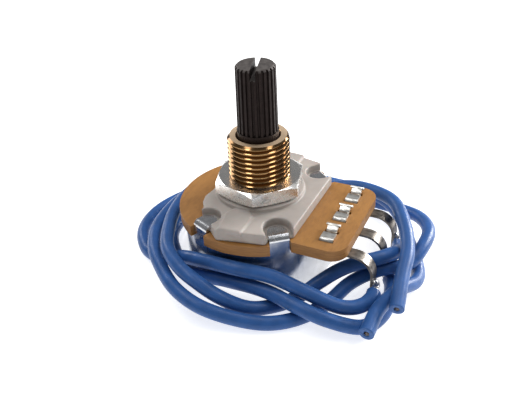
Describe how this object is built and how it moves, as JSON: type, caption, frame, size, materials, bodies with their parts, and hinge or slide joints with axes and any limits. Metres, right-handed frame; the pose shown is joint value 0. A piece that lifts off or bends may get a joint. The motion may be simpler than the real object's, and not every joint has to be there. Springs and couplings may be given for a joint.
{
  "type": "rotary potentiometer",
  "caption": "panel-mount rotary potentiometer with a splined, slotted plastic shaft, brass bushing, steel can and three leads",
  "frame": {"origin": "centre of the can's flat back, on the shaft axis", "axes": "+Z along the shaft towards its tip, +X from the shaft axis towards the terminal strip, +Y along the strip"},
  "size_m": [0.0497, 0.0415, 0.0323],
  "materials": {
    "can_steel": "bright tin-plated sheet steel",
    "resin_paper": "resin-bonded paper laminate, brown",
    "carbon_film": "printed carbon film",
    "silver_film": "printed silver film",
    "nylon": "moulded nylon, off-white",
    "brass": "turned brass",
    "nickel": "nickel-plated brass",
    "black_plastic": "moulded acetal, black",
    "spring_steel": "plain spring steel",
    "rotor_laminate": "resin-bonded paper, punched",
    "spring_brass": "phosphor bronze sheet",
    "tinned_brass": "tinned sheet brass",
    "solder": "bright solder",
    "tinned_copper": "tinned stranded copper",
    "blue_pvc": "soft blue PVC insulation"
  },
  "bodies": {
    "housing": {"rear_can": "can_steel", "element_board": "resin_paper", "carbon_track": "carbon_film", "collector_ring": "silver_film", "front_plate": "nylon", "bushing": "brass", "mounting_nut": "nickel", "terminal_front": "tinned_brass", "terminal_middle": "tinned_brass", "terminal_rear": "tinned_brass", "solder_front": "solder", "solder_middle": "solder", "solder_rear": "solder", "core_front": "tinned_copper", "core_middle": "tinned_copper", "core_rear": "tinned_copper", "lead_front": "blue_pvc", "lead_middle": "blue_pvc", "lead_rear": "blue_pvc"},
    "spindle": {"shaft": "black_plastic", "retaining_ring": "spring_steel", "rotor": "rotor_laminate", "wiper_spring": "spring_brass"}
  },
  "joints": [
    {"name": "shaft_rotation", "type": "hinge", "parent": "housing", "child": "spindle", "pos_m": [0, 0, 0.0123], "axis": [0, 0, 1], "range_deg": [-150, 150]}
  ]
}
